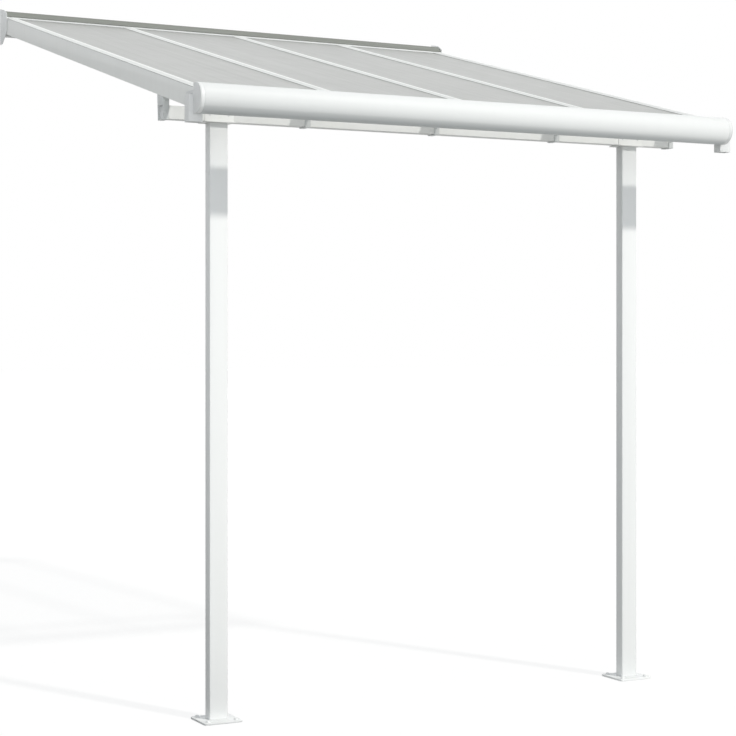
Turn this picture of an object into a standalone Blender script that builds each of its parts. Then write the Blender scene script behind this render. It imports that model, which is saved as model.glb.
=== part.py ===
"""Patio cover: a lean-to roof of glazing sheets held by five sloping rafters, fixed to a wall rail at
the back and carried by a cross beam on two posts at the front, with a round-nosed gutter.

Metres, +Z up. The cover's width runs along X, the wall is at Y = 0 and the roof falls towards -Y.
Heights are measured from the ground; the parent empty then puts the middle of the wall rail's back
face on the world origin.
"""

import math

import bmesh
import bpy
from mathutils import Vector

# Fit
TOUCH_GAP = 0.0003  # what is left between two pieces that touch
SLIDE_GAP = 0.0010  # round a tube that slides into another piece

# Roof, which follows from the headroom under the beam
CLEAR_HEIGHT = 2.269  # ground to the underside of the beam
BAY_COUNT = 4
BAY_PITCH = 0.575
ROOF_SLOPE_DEG = 14.5
GUTTER_TO_HOUSE = 2.3703  # back of the gutter's rear wall
BEAM_TO_HOUSE = 2.095  # middle of the beam

# Glazing sheets and the bars that hold them down
SHEET_THICKNESS = 0.006
SHEET_SIDE_GAP = 0.002
SHEET_SETBACK = 0.021  # sheet's lower edge to the gutter's inturned lip
BAR_WIDTH = 0.046
BAR_HEIGHT = 0.008
BAR_CROWN = 0.0040
BAR_WALL = 0.0022
BAR_CORNER_RADIUS = 0.0045
BAR_CORNER_STEPS = 4
BAR_END_GAP = 0.003  # from the bar's upper end to the rail's lip

# Rafters
RAFTER_WIDTH = 0.040
RAFTER_DEPTH = 0.067  # of the hollow box, square to the slope
RAFTER_WALL = 0.0018
LEDGE_OVERHANG = 0.006
STEM_WIDTH = 0.006
SIDE_RAFTER_OUTSET = 0.025  # from the bar's middle to the side rafter's outer face
RAFTER_TIP_DEPTH = 0.031  # plumb, from the top of the bars to the underside over the gutter
RAFTER_TIP_SETBACK = 0.0136  # tip to the gutter's inturned lip

# Wall rail, its weather strip and end caps
RAIL_WALL = 0.0022
RAIL_TOP_ABOVE_ROOF = 0.016
RAIL_HOOD_DEPTH = 0.068  # nearly level part of the hood
RAIL_HOOD_FALL = 0.014
RAIL_LIP_DEPTH = 0.106  # front of the lip that stands on the sheets
RAIL_LIP_HEIGHT = 0.007
SHELF_DEPTH = 0.075
SHELF_NOSE = 0.006
SEAL_THICKNESS = 0.004
SEAL_EDGE = 0.0015  # bare metal left along the strip's two edges
RAIL_CAP_THICKNESS = 0.002
RAIL_CAP_PROUD = 0.008
RAIL_CAP_NOSE = 0.003
RAIL_CAP_TAPER_RISE = 0.009
RAIL_CAP_TAIL_DROP = 0.038
RAIL_CAP_TAIL_DEPTH = 0.040

# Wedge-shaped shoes between the rail's shelf and the rafters
SHOE_WIDTH = 0.036
SHOE_TOE_THICKNESS = 0.0018  # over the shelf's front edge
SHOE_HOOK = 0.008
SHOE_HOOK_DROP = 0.006

# Gutter
GUTTER_OVERRUN = 0.028  # past the outer bars' middle lines
GUTTER_DROP = 0.0078  # from the bars' line to the gutter's top, over the rear wall
GUTTER_WALL = 0.0020
GUTTER_REAR_GAP = 0.008  # over the rear wall, under the rafters' tips
GUTTER_FLOOR_DEPTH = 0.0880
GUTTER_FLOOR_FALL = 0.010
NOSE_RADIUS = 0.0555
NOSE_STEPS = 18
GUTTER_LIP_DEPTH = 0.0190
GUTTER_LIP_TURN = 0.012
GUTTER_CAP_THICKNESS = 0.003

# Rain outlets at the gutter's ends
OUTLET_WIDTH = 0.053
OUTLET_DEPTH = 0.042
OUTLET_TOP_GAP = 0.003  # under the rafters' tips
OUTLET_DROP = 0.028  # below the gutter
OUTLET_WALL = 0.0025
OUTLET_WINDOW_HEIGHT = 0.030
OUTLET_WINDOW_MARGIN = 0.005
LEFT_OUTLET_OUTSET = 0.020  # past the gutter's end
RIGHT_OUTLET_OUTSET = 0.050

# Beam and its saddles
BEAM_SIZE = 0.050
BEAM_WALL = 0.0020
BEAM_OVERRUN = 0.0127  # past the outer bars' middle lines
BEAM_CAP_THICKNESS = 0.002
SADDLE_RISE = 0.039  # beam's top to the rafters' undersides, over the beam's middle
SADDLE_WIDTH = 0.028
SADDLE_FOOT_WIDTH = 0.023
SADDLE_WALL = 0.0028

# Posts
POST_SPACING = 1.892
POST_WIDTH = 0.074
POST_DEPTH = 0.046
POST_WALL = 0.0020
POST_CORNER_RADIUS = 0.0035
CORNER_STEPS = 4
HEAD_WIDTH = 0.118
HEAD_DEPTH = 0.086
HEAD_PLATE = 0.004
HEAD_CHEEK = 0.003
HEAD_CHEEK_HEIGHT = 0.040
SPIGOT_WALL = 0.0025
HEAD_SPIGOT_LENGTH = 0.060
FOOT_WIDTH = 0.155
FOOT_DEPTH = 0.150
FOOT_PLATE = 0.008
FOOT_CORNER_RADIUS = 0.010
FOOT_SPIGOT_HEIGHT = 0.090
FOOT_HOLE_RADIUS = 0.006
FOOT_HOLE_INSET = 0.020
FOOT_HOLE_STEPS = 12

# How far a cutting tool runs past what it cuts
TOOL_MARGIN = 0.020

# Levels square to the roof, down from the top of the bars
SHEET_TOP = BAR_HEIGHT
SHEET_BOTTOM = SHEET_TOP + SHEET_THICKNESS
LEDGE_TOP = SHEET_BOTTOM + TOUCH_GAP
RAFTER_BOTTOM = LEDGE_TOP + RAFTER_DEPTH
STEM_TOP = BAR_CROWN + TOUCH_GAP

# Slope and the roof's height, built up from the beam
SLOPE = math.radians(ROOF_SLOPE_DEG)
FALL = math.tan(SLOPE)
PLUMB = 1.0 / math.cos(SLOPE)
BEAM_TOP = CLEAR_HEIGHT + BEAM_SIZE
RAFTER_OVER_BEAM = BEAM_TOP + SADDLE_RISE + RAFTER_BOTTOM * PLUMB
ROOF_HEIGHT_AT_WALL = RAFTER_OVER_BEAM + BEAM_TO_HOUSE * FALL


def roof_height(y, down=0.0):
    """Height of the line that lies `down` metres below the bars' tops, square to the slope."""
    return ROOF_HEIGHT_AT_WALL + y * FALL - down * PLUMB


# Widths
ROOF_HALF_WIDTH = BAY_COUNT * BAY_PITCH / 2
RAFTER_COUNT = BAY_COUNT + 1
FRAME_HALF_WIDTH = ROOF_HALF_WIDTH + SIDE_RAFTER_OUTSET
GUTTER_HALF_LENGTH = ROOF_HALF_WIDTH + GUTTER_OVERRUN
BEAM_HALF_LENGTH = ROOF_HALF_WIDTH + BEAM_OVERRUN

# Gutter planes
GUTTER_REAR_FACE = -GUTTER_TO_HOUSE
RAFTER_FRONT = GUTTER_REAR_FACE + TOUCH_GAP
GUTTER_TOP = roof_height(GUTTER_REAR_FACE) - GUTTER_DROP
GUTTER_BOTTOM = GUTTER_TOP - 2 * NOSE_RADIUS
FLOOR_REAR_HEIGHT = GUTTER_BOTTOM + GUTTER_FLOOR_FALL
NOSE_CENTRE_Y = GUTTER_REAR_FACE - GUTTER_FLOOR_DEPTH - GUTTER_WALL
NOSE_CENTRE_Z = GUTTER_TOP - NOSE_RADIUS
GUTTER_LIP_BACK = NOSE_CENTRE_Y + GUTTER_LIP_DEPTH

# Wall rail planes
RAIL_FACE = -RAIL_LIP_DEPTH
RAIL_TOP = ROOF_HEIGHT_AT_WALL + RAIL_TOP_ABOVE_ROOF
HOOD_EDGE_HEIGHT = RAIL_TOP - RAIL_HOOD_FALL
LIP_TOP = roof_height(RAIL_FACE, SHEET_TOP) + RAIL_LIP_HEIGHT
SHELF_TOP = roof_height(-SHELF_DEPTH, RAFTER_BOTTOM) - SHOE_TOE_THICKNESS - 2 * TOUCH_GAP
RAIL_BOTTOM = SHELF_TOP - RAIL_WALL
RAIL_MIDDLE = (RAIL_TOP + RAIL_BOTTOM) / 2

# Ends of what lies on the slope
RAFTER_BACK = -(RAIL_WALL + TOUCH_GAP)
RAFTER_TIP_FRONT = GUTTER_LIP_BACK + RAFTER_TIP_SETBACK
TIP_UNDERSIDE = roof_height(RAFTER_TIP_FRONT) - RAFTER_TIP_DEPTH
SHEET_FRONT = GUTTER_LIP_BACK + SHEET_SETBACK
SHEET_BACK = RAFTER_BACK - SLIDE_GAP
BAR_BACK = RAIL_FACE - BAR_END_GAP

# Outlet, beam and post planes
OUTLET_FRONT = GUTTER_LIP_BACK + TOUCH_GAP
OUTLET_BACK = OUTLET_FRONT + OUTLET_DEPTH
OUTLET_TOP = TIP_UNDERSIDE - OUTLET_TOP_GAP
OUTLET_BOTTOM = GUTTER_BOTTOM - OUTLET_DROP
BEAM_Y = -BEAM_TO_HOUSE
HEAD_TOP = CLEAR_HEIGHT - TOUCH_GAP
HEAD_BOTTOM = HEAD_TOP - HEAD_PLATE
POST_TOP = HEAD_BOTTOM - TOUCH_GAP
POST_BOTTOM = FOOT_PLATE + TOUCH_GAP

SIDES = ((-1, "left"), (1, "right"))


def clear_scene():
    for item in list(bpy.data.objects):
        bpy.data.objects.remove(item, do_unlink=True)


def make_material(name, colour, roughness, metallic=0.0, alpha=1.0):
    material = bpy.data.materials.new(name)
    material.use_nodes = True
    shader = material.node_tree.nodes["Principled BSDF"]
    shader.inputs["Base Color"].default_value = (*colour, 1.0)
    shader.inputs["Roughness"].default_value = roughness
    shader.inputs["Metallic"].default_value = metallic
    shader.inputs["Alpha"].default_value = alpha
    material.diffuse_color = (*colour, alpha)
    return material


def add_object(name, shape, material, parent, smooth=False):
    """Turns a bmesh into a named object under the parent."""
    bmesh.ops.recalc_face_normals(shape, faces=shape.faces)
    mesh = bpy.data.meshes.new(name)
    shape.to_mesh(mesh)
    shape.free()
    if smooth:
        mesh.shade_smooth()
        mesh.set_sharp_from_angle(angle=math.radians(35))
    made = bpy.data.objects.new(name, mesh)
    if material is not None:
        made.data.materials.append(material)
    made.parent = parent
    bpy.context.scene.collection.objects.link(made)
    return made


def extrude_section(shape, loops, start, end):
    """Adds a prism: `loops` is an outline and its holes, and start and end turn a 2-D point into
    the matching 3-D point at each end of the prism."""
    rings = []
    for loop in loops:
        near = [shape.verts.new(start(a, b)) for a, b in loop]
        far = [shape.verts.new(end(a, b)) for a, b in loop]
        rings.append((near, far))
    for side in (0, 1):
        edges = []
        for ring in rings:
            verts = ring[side]
            edges += [shape.edges.new((v, verts[i - 1])) for i, v in enumerate(verts)]
        bmesh.ops.triangle_fill(shape, edges=edges, use_beauty=True, use_dissolve=False)
    for near, far in rings:
        for i in range(len(near)):
            shape.faces.new((near[i - 1], near[i], far[i], far[i - 1]))
    return shape


def along_x(loops, x0, x1):
    """A section drawn in (y, z), run along X."""
    shape = bmesh.new()
    return extrude_section(shape, loops, lambda y, z: (x0, y, z), lambda y, z: (x1, y, z))


def upright(loops, z0, z1):
    """A section drawn in (x, y), run up Z."""
    shape = bmesh.new()
    return extrude_section(shape, loops, lambda x, y: (x, y, z0), lambda x, y: (x, y, z1))


def along_roof(loops, y0, y1, x_middle=0.0):
    """A section drawn in (x, depth below the bars' tops), run down the slope with plumb ends."""
    shape = bmesh.new()
    return extrude_section(
        shape,
        loops,
        lambda x, down: (x_middle + x, y0, roof_height(y0, down)),
        lambda x, down: (x_middle + x, y1, roof_height(y1, down)),
    )


def rectangle(a0, b0, a1, b1):
    return [(a0, b0), (a1, b0), (a1, b1), (a0, b1)]


def moved(loops, x, y):
    return [[(a + x, b + y) for a, b in loop] for loop in loops]


def arc(centre_a, centre_b, radius, from_deg, to_deg, steps):
    points = []
    for i in range(steps + 1):
        angle = math.radians(from_deg + (to_deg - from_deg) * i / steps)
        points.append((centre_a + radius * math.cos(angle), centre_b + radius * math.sin(angle)))
    return points


def rounded_rectangle(width, depth, radius):
    a, b = width / 2 - radius, depth / 2 - radius
    points = []
    for sign_a, sign_b, first in ((1, 1, 0), (-1, 1, 90), (-1, -1, 180), (1, -1, 270)):
        points += arc(sign_a * a, sign_b * b, radius, first, first + 90, CORNER_STEPS)
    return points


def offset_path(path, distance):
    """The open path moved to its left by the distance, with mitred corners."""
    points = [Vector(point) for point in path]
    normals = []
    for here, after in zip(points, points[1:]):
        run = (after - here).normalized()
        normals.append(Vector((-run.y, run.x)))
    before_and_after = zip([normals[0]] + normals, normals + [normals[-1]])
    shifted = []
    for point, (first, second) in zip(points, before_and_after):
        mitre = (first + second).normalized()
        shifted.append(tuple(point + mitre * (distance / mitre.dot(first))))
    return shifted


def folded_sheet(path, thickness):
    """Closed section of a sheet folded along the path, its thickness on the path's left."""
    return path + offset_path(path, thickness)[::-1]


def add_tool(target, shape, operation="DIFFERENCE"):
    """Cuts a shape from an object, or joins it on."""
    tool = add_object(target.name + "_tool", shape, None, target.parent)
    tool.hide_render = True
    tool.display_type = "WIRE"
    step = target.modifiers.new(operation.title(), "BOOLEAN")
    step.operation = operation
    step.solver = "EXACT"
    step.object = tool


def hood_slope():
    """The hood's sloping front, from its lower edge to its upper edge."""
    return [(RAIL_FACE, LIP_TOP), (-RAIL_HOOD_DEPTH, HOOD_EDGE_HEIGHT)]


def wall_rail_path():
    """Outer face of the rail's sheet: up the lip, over the hood, down the wall and out along the shelf."""
    lip_bottom = roof_height(RAIL_FACE + RAIL_WALL, SHEET_TOP) + TOUCH_GAP
    nose_back = RAIL_WALL - SHELF_DEPTH
    wall = [(0.0, RAIL_TOP), (0.0, RAIL_BOTTOM)]
    shelf = [(nose_back, RAIL_BOTTOM), (nose_back, RAIL_BOTTOM - SHELF_NOSE)]
    return [(RAIL_FACE, lip_bottom)] + hood_slope() + wall + shelf


def seal_section():
    """A flat strip laid on the hood's slope."""
    low, high = (Vector(point) for point in hood_slope())
    along = (high - low).normalized() * SEAL_EDGE
    strip = offset_path([tuple(low + along), tuple(high - along)], TOUCH_GAP)
    return folded_sheet(strip, SEAL_THICKNESS)


def build_wall_rail(frame_white, seal_grey, root):
    half = FRAME_HALF_WIDTH
    section = folded_sheet(wall_rail_path(), -RAIL_WALL)
    add_object("wall_rail", along_x([section], -half, half), frame_white, root)
    add_object("wall_seal", along_x([seal_section()], -half, half), seal_grey, root)

    cap_front = RAIL_FACE - RAIL_CAP_NOSE
    tail = RAIL_BOTTOM - RAIL_CAP_TAIL_DROP
    plate = [
        (0.0, tail),
        (0.0, RAIL_TOP + RAIL_CAP_PROUD),
        (-RAIL_HOOD_DEPTH, HOOD_EDGE_HEIGHT + RAIL_CAP_PROUD),
        (cap_front, LIP_TOP + 2 * RAIL_CAP_PROUD),
        (cap_front, RAIL_BOTTOM + RAIL_CAP_TAPER_RISE),
        (-RAIL_CAP_TAIL_DEPTH, tail),
    ]
    for side, word in SIDES:
        x0 = side * (half + TOUCH_GAP)
        x1 = x0 + side * RAIL_CAP_THICKNESS
        add_object("wall_rail_cap_" + word, along_x([plate], x0, x1), frame_white, root)


def inner_rafter_sections():
    """Outline and cavity of a rafter between two bays, as x and depth below the bars' tops."""
    half = RAFTER_WIDTH / 2
    stem = STEM_WIDTH / 2
    ledge = half + LEDGE_OVERHANG
    ledge_under = LEDGE_TOP + RAFTER_WALL
    right = [
        (stem, STEM_TOP),
        (stem, LEDGE_TOP),
        (ledge, LEDGE_TOP),
        (ledge, ledge_under),
        (half, ledge_under),
        (half, RAFTER_BOTTOM),
    ]
    outline = right + [(-x, down) for x, down in reversed(right)]
    inside = half - RAFTER_WALL
    return [outline, rectangle(-inside, ledge_under, inside, RAFTER_BOTTOM - RAFTER_WALL)]


def side_rafter_sections(side):
    """The same for a rafter that closes the roof's side, with an outer wall up to the bar."""
    half = RAFTER_WIDTH / 2
    stem = STEM_WIDTH / 2
    ledge = half + LEDGE_OVERHANG
    ledge_under = LEDGE_TOP + RAFTER_WALL
    outer = SIDE_RAFTER_OUTSET
    outline = [
        (-half, RAFTER_BOTTOM),
        (-half, ledge_under),
        (-ledge, ledge_under),
        (-ledge, LEDGE_TOP),
        (-stem, LEDGE_TOP),
        (-stem, STEM_TOP),
        (stem, STEM_TOP),
        (stem, LEDGE_TOP),
        (outer - RAFTER_WALL, LEDGE_TOP),
        (outer - RAFTER_WALL, BAR_HEIGHT + TOUCH_GAP),
        (outer, BAR_HEIGHT + TOUCH_GAP),
        (outer, RAFTER_BOTTOM),
    ]
    inside = outer - RAFTER_WALL
    cavity = rectangle(RAFTER_WALL - half, ledge_under, inside, RAFTER_BOTTOM - RAFTER_WALL)
    return [[(side * x, down) for x, down in loop] for loop in (outline, cavity)]


def build_rafters(frame_white, root):
    width = SIDE_RAFTER_OUTSET + TOOL_MARGIN
    notch = rectangle(-width, RAFTER_TIP_DEPTH / PLUMB, width, RAFTER_BOTTOM + TOOL_MARGIN)
    under_hood = rectangle(-width, -TOOL_MARGIN, width, SHEET_TOP)
    for index in range(RAFTER_COUNT):
        x = index * BAY_PITCH - ROOF_HALF_WIDTH
        if index == 0:
            name, sections = "side_rafter_left", side_rafter_sections(-1)
        elif index == BAY_COUNT:
            name, sections = "side_rafter_right", side_rafter_sections(1)
        else:
            name, sections = "rafter_%d" % index, inner_rafter_sections()
        body = along_roof(sections, RAFTER_TIP_FRONT, RAFTER_BACK, x)
        rafter = add_object(name, body, frame_white, root)
        add_tool(rafter, along_roof([notch], RAFTER_TIP_FRONT - TOOL_MARGIN, RAFTER_FRONT, x))
        add_tool(rafter, along_roof([under_hood], BAR_BACK, TOOL_MARGIN, x))


def bar_section():
    """A shallow channel with rounded shoulders, open below."""
    half = BAR_WIDTH / 2
    inner = half - BAR_WALL
    foot = BAR_HEIGHT - TOUCH_GAP
    shoulder = half - BAR_CORNER_RADIUS
    right = arc(shoulder, BAR_CORNER_RADIUS, BAR_CORNER_RADIUS, 0, -90, BAR_CORNER_STEPS)
    left = [(-x, down) for x, down in reversed(right)]
    hollow = [(-inner, foot), (-inner, BAR_CROWN), (inner, BAR_CROWN), (inner, foot)]
    return [(half, foot)] + right + left + [(-half, foot)] + hollow


def build_glazing(bar_white, sheet_clear, root):
    for index in range(RAFTER_COUNT):
        x = index * BAY_PITCH - ROOF_HALF_WIDTH
        bar = along_roof([bar_section()], SHEET_FRONT, BAR_BACK, x)
        add_object("glazing_bar_%d" % (index + 1), bar, bar_white, root, smooth=True)
    half = BAY_PITCH / 2 - STEM_WIDTH / 2 - SHEET_SIDE_GAP
    sheet = rectangle(-half, SHEET_TOP, half, SHEET_BOTTOM)
    for index in range(BAY_COUNT):
        x = (index + 0.5) * BAY_PITCH - ROOF_HALF_WIDTH
        panel = along_roof([sheet], SHEET_FRONT, SHEET_BACK, x)
        add_object("roof_panel_%d" % (index + 1), panel, sheet_clear, root)


def build_shoes(bracket_grey, root):
    base = SHELF_TOP + TOUCH_GAP
    back = RAFTER_BACK - TOUCH_GAP
    front = -(SHELF_DEPTH + SHOE_HOOK)
    hook_back = -(SHELF_DEPTH + TOUCH_GAP)
    hook_bottom = SHELF_TOP - SHOE_HOOK_DROP
    wedge = [
        (back, base),
        (back, roof_height(back, RAFTER_BOTTOM) - TOUCH_GAP),
        (front, roof_height(front, RAFTER_BOTTOM) - TOUCH_GAP),
        (front, hook_bottom),
        (hook_back, hook_bottom),
        (hook_back, base),
    ]
    for index in range(RAFTER_COUNT):
        x = index * BAY_PITCH - ROOF_HALF_WIDTH
        shoe = along_x([wedge], x - SHOE_WIDTH / 2, x + SHOE_WIDTH / 2)
        add_object("rafter_shoe_%d" % (index + 1), shoe, bracket_grey, root)


def nose_arc():
    """The gutter's half-round front, from its lowest point up to its top."""
    return arc(NOSE_CENTRE_Y, NOSE_CENTRE_Z, NOSE_RADIUS, -90, -270, NOSE_STEPS)


def gutter_path():
    """Outer face of the gutter's sheet, from the rear wall's top, under the floor and round the nose."""
    rear_top = roof_height(RAFTER_FRONT) - RAFTER_TIP_DEPTH - GUTTER_REAR_GAP
    rear = [(GUTTER_REAR_FACE, rear_top), (GUTTER_REAR_FACE, FLOOR_REAR_HEIGHT)]
    lip = [(GUTTER_LIP_BACK, GUTTER_TOP), (GUTTER_LIP_BACK, GUTTER_TOP - GUTTER_LIP_TURN)]
    return rear + nose_arc() + lip


def outlet_span(side):
    """Distances of an outlet's inner and outer face from the middle of the cover."""
    outset = LEFT_OUTLET_OUTSET if side < 0 else RIGHT_OUTLET_OUTSET
    outer = GUTTER_HALF_LENGTH + outset
    return outer - OUTLET_WIDTH, outer


def build_gutter(gutter_white, root):
    half = GUTTER_HALF_LENGTH
    section = folded_sheet(gutter_path(), -GUTTER_WALL)
    gutter = add_object("gutter", along_x([section], -half, half), gutter_white, root, smooth=True)
    low, high = OUTLET_BOTTOM - TOOL_MARGIN, GUTTER_TOP + TOOL_MARGIN
    notch = rectangle(GUTTER_LIP_BACK + TOUCH_GAP / 2, low, GUTTER_REAR_FACE + TOOL_MARGIN, high)
    cap = [(GUTTER_LIP_BACK, GUTTER_BOTTOM)] + nose_arc() + [(GUTTER_LIP_BACK, GUTTER_TOP)]
    for side, word in SIDES:
        inner = outlet_span(side)[0] - TOUCH_GAP
        if inner < half:
            add_tool(gutter, along_x([notch], side * inner, side * (half + TOOL_MARGIN)))
        x0 = side * (half + TOUCH_GAP)
        plate = along_x([cap], x0, x0 + side * GUTTER_CAP_THICKNESS)
        add_object("gutter_cap_" + word, plate, gutter_white, root, smooth=True)


def build_outlets(gutter_white, root):
    wall = OUTLET_WALL
    margin = OUTLET_WINDOW_MARGIN
    sill = FLOOR_REAR_HEIGHT + GUTTER_WALL
    window = rectangle(OUTLET_FRONT + margin, sill, OUTLET_BACK - margin, sill + OUTLET_WINDOW_HEIGHT)
    for side, word in SIDES:
        inner, outer = outlet_span(side)
        low, high = sorted((side * inner, side * outer))
        tube = [
            rectangle(low, OUTLET_FRONT, high, OUTLET_BACK),
            rectangle(low + wall, OUTLET_FRONT + wall, high - wall, OUTLET_BACK - wall),
        ]
        box = upright(tube, OUTLET_BOTTOM, OUTLET_TOP)
        outlet = add_object("gutter_outlet_" + word, box, gutter_white, root)
        add_tool(outlet, along_x([window], side * (inner - wall), side * (inner + 2 * wall)))


def build_beam(frame_white, root):
    half = BEAM_SIZE / 2
    inside = half - BEAM_WALL
    outline = rectangle(BEAM_Y - half, CLEAR_HEIGHT, BEAM_Y + half, BEAM_TOP)
    hollow = rectangle(BEAM_Y - inside, CLEAR_HEIGHT + BEAM_WALL, BEAM_Y + inside, BEAM_TOP - BEAM_WALL)
    beam = along_x([outline, hollow], -BEAM_HALF_LENGTH, BEAM_HALF_LENGTH)
    add_object("post_beam", beam, frame_white, root)
    for side, word in SIDES:
        x0 = side * (BEAM_HALF_LENGTH + TOUCH_GAP)
        cap = along_x([outline], x0, x0 + side * BEAM_CAP_THICKNESS)
        add_object("beam_cap_" + word, cap, frame_white, root)


def saddle_shape(x_middle):
    """A ring round the beam with a head up to the rafter, narrower at its foot."""
    inside = BEAM_SIZE / 2 + TOUCH_GAP
    outside = inside + SADDLE_WALL
    front, back = BEAM_Y - outside, BEAM_Y + outside
    bottom = CLEAR_HEIGHT - TOUCH_GAP - SADDLE_WALL
    top = roof_height(back, RAFTER_BOTTOM) - TOUCH_GAP
    side_view = [
        (front, bottom),
        (front, roof_height(front, RAFTER_BOTTOM) - TOUCH_GAP),
        (back, top),
        (back, bottom),
    ]
    hole = rectangle(BEAM_Y - inside, CLEAR_HEIGHT - TOUCH_GAP, BEAM_Y + inside, BEAM_TOP + TOUCH_GAP)
    saddle = along_x([side_view, hole], -SADDLE_WIDTH / 2, SADDLE_WIDTH / 2)
    foot_share = SADDLE_FOOT_WIDTH / SADDLE_WIDTH
    for vert in saddle.verts:
        share = (vert.co.z - bottom) / (top - bottom)
        vert.co.x = x_middle + vert.co.x * (foot_share + (1 - foot_share) * share)
    return saddle


def build_saddles(bracket_grey, root):
    end = FRAME_HALF_WIDTH - SADDLE_WIDTH / 2
    between = [index * BAY_PITCH - ROOF_HALF_WIDTH for index in range(1, BAY_COUNT)]
    for index, x in enumerate([-end] + between + [end]):
        add_object("beam_saddle_%d" % (index + 1), saddle_shape(x), bracket_grey, root)


def spigot_section():
    """The short tube on a head or foot that fills the post's bore."""
    a = POST_WIDTH / 2 - POST_WALL - SLIDE_GAP
    b = POST_DEPTH / 2 - POST_WALL - SLIDE_GAP
    wall = SPIGOT_WALL
    return [rectangle(-a, -b, a, b), rectangle(-a + wall, -b + wall, a - wall, b - wall)]


def head_section():
    """A plate under the beam with a cheek up each side of it."""
    inside = BEAM_SIZE / 2 + TOUCH_GAP
    outside = inside + HEAD_CHEEK
    edge = HEAD_DEPTH / 2
    cheek_top = HEAD_TOP + HEAD_CHEEK_HEIGHT
    back = [
        (inside, HEAD_TOP),
        (inside, cheek_top),
        (outside, cheek_top),
        (outside, HEAD_TOP),
        (edge, HEAD_TOP),
        (edge, HEAD_BOTTOM),
    ]
    front = [(-y, z) for y, z in reversed(back)]
    return [(BEAM_Y + y, z) for y, z in front + back]


def foot_sections():
    """The foot plate's outline and its anchor holes."""
    plate = rounded_rectangle(FOOT_WIDTH, FOOT_DEPTH, FOOT_CORNER_RADIUS)
    hole_x, hole_y = FOOT_WIDTH / 2 - FOOT_HOLE_INSET, FOOT_DEPTH / 2 - FOOT_HOLE_INSET
    corners = [(sx * hole_x, sy * hole_y) for sx in (-1, 1) for sy in (-1, 1)]
    holes = [arc(x, y, FOOT_HOLE_RADIUS, 0, 360, FOOT_HOLE_STEPS)[:-1] for x, y in corners]
    return [plate] + holes


def build_posts(frame_white, root):
    bore_width, bore_depth = POST_WIDTH - 2 * POST_WALL, POST_DEPTH - 2 * POST_WALL
    tube = [
        rounded_rectangle(POST_WIDTH, POST_DEPTH, POST_CORNER_RADIUS),
        rounded_rectangle(bore_width, bore_depth, POST_CORNER_RADIUS - POST_WALL),
    ]
    for side, word in SIDES:
        x = side * POST_SPACING / 2
        post = upright(moved(tube, x, BEAM_Y), POST_BOTTOM, POST_TOP)
        add_object("post_" + word, post, frame_white, root, smooth=True)
        spigot = moved(spigot_section(), x, BEAM_Y)

        plate = along_x([head_section()], x - HEAD_WIDTH / 2, x + HEAD_WIDTH / 2)
        head = add_object("post_head_" + word, plate, frame_white, root)
        stub = upright(spigot, HEAD_BOTTOM - HEAD_SPIGOT_LENGTH, HEAD_BOTTOM + HEAD_PLATE / 2)
        add_tool(head, stub, "UNION")

        plate = upright(moved(foot_sections(), x, BEAM_Y), 0.0, FOOT_PLATE)
        foot = add_object("foot_plate_" + word, plate, frame_white, root)
        stub = upright(spigot, FOOT_PLATE / 2, FOOT_PLATE + FOOT_SPIGOT_HEIGHT)
        add_tool(foot, stub, "UNION")


def main():
    clear_scene()
    root = bpy.data.objects.new("patio_cover", None)
    root.location = (0.0, 0.0, -RAIL_MIDDLE)
    bpy.context.scene.collection.objects.link(root)

    frame_white = make_material("frame_white", (0.80, 0.81, 0.81), 0.42)
    gutter_white = make_material("gutter_white", (0.86, 0.87, 0.87), 0.30)
    bar_white = make_material("bar_white", (0.86, 0.87, 0.86), 0.38)
    sheet_clear = make_material("sheet_clear", (0.58, 0.60, 0.60), 0.25, 0.0, 0.75)
    seal_grey = make_material("seal_grey", (0.26, 0.27, 0.25), 0.75)
    bracket_grey = make_material("bracket_grey", (0.38, 0.40, 0.40), 0.55)

    build_wall_rail(frame_white, seal_grey, root)
    build_rafters(frame_white, root)
    build_shoes(bracket_grey, root)
    build_glazing(bar_white, sheet_clear, root)
    build_gutter(gutter_white, root)
    build_outlets(gutter_white, root)
    build_beam(frame_white, root)
    build_saddles(bracket_grey, root)
    build_posts(frame_white, root)


main()
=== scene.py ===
"""Patio cover, dressed: finishes, twin-wall sheets, glazing bars, gaskets and fasteners over the frame.

Metres, +Z up, in the row frame: X runs along the wall rail and the gutter, the wall is at Y = 0 and
the roof falls towards -Y.
"""

import logging
import math
from dataclasses import dataclass, field
from enum import Enum
from typing import Iterable, Mapping, Optional, Sequence, Union

import bmesh
import bpy
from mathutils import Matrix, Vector


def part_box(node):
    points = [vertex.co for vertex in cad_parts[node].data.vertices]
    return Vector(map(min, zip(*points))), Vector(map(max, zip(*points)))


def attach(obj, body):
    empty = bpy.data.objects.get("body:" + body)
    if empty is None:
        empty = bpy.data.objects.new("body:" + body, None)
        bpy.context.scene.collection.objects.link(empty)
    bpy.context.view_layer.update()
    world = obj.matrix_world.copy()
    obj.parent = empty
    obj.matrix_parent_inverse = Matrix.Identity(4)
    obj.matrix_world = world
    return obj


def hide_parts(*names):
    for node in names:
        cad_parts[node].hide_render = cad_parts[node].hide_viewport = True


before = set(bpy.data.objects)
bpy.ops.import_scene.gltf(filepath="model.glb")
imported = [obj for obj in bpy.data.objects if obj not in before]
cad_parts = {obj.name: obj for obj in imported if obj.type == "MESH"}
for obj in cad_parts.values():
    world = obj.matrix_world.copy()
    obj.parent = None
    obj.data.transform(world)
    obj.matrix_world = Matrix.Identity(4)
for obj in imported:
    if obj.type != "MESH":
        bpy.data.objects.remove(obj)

logging.basicConfig(level=logging.INFO, format="%(message)s")
log = logging.getLogger("patio_cover")

Point2 = tuple[float, float]
Point3 = tuple[float, float, float]
Colour = tuple[float, float, float]
Socket = bpy.types.NodeSocket
Sockets = Mapping[str, Socket]
Value = Union[float, Point3, Socket]

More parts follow.
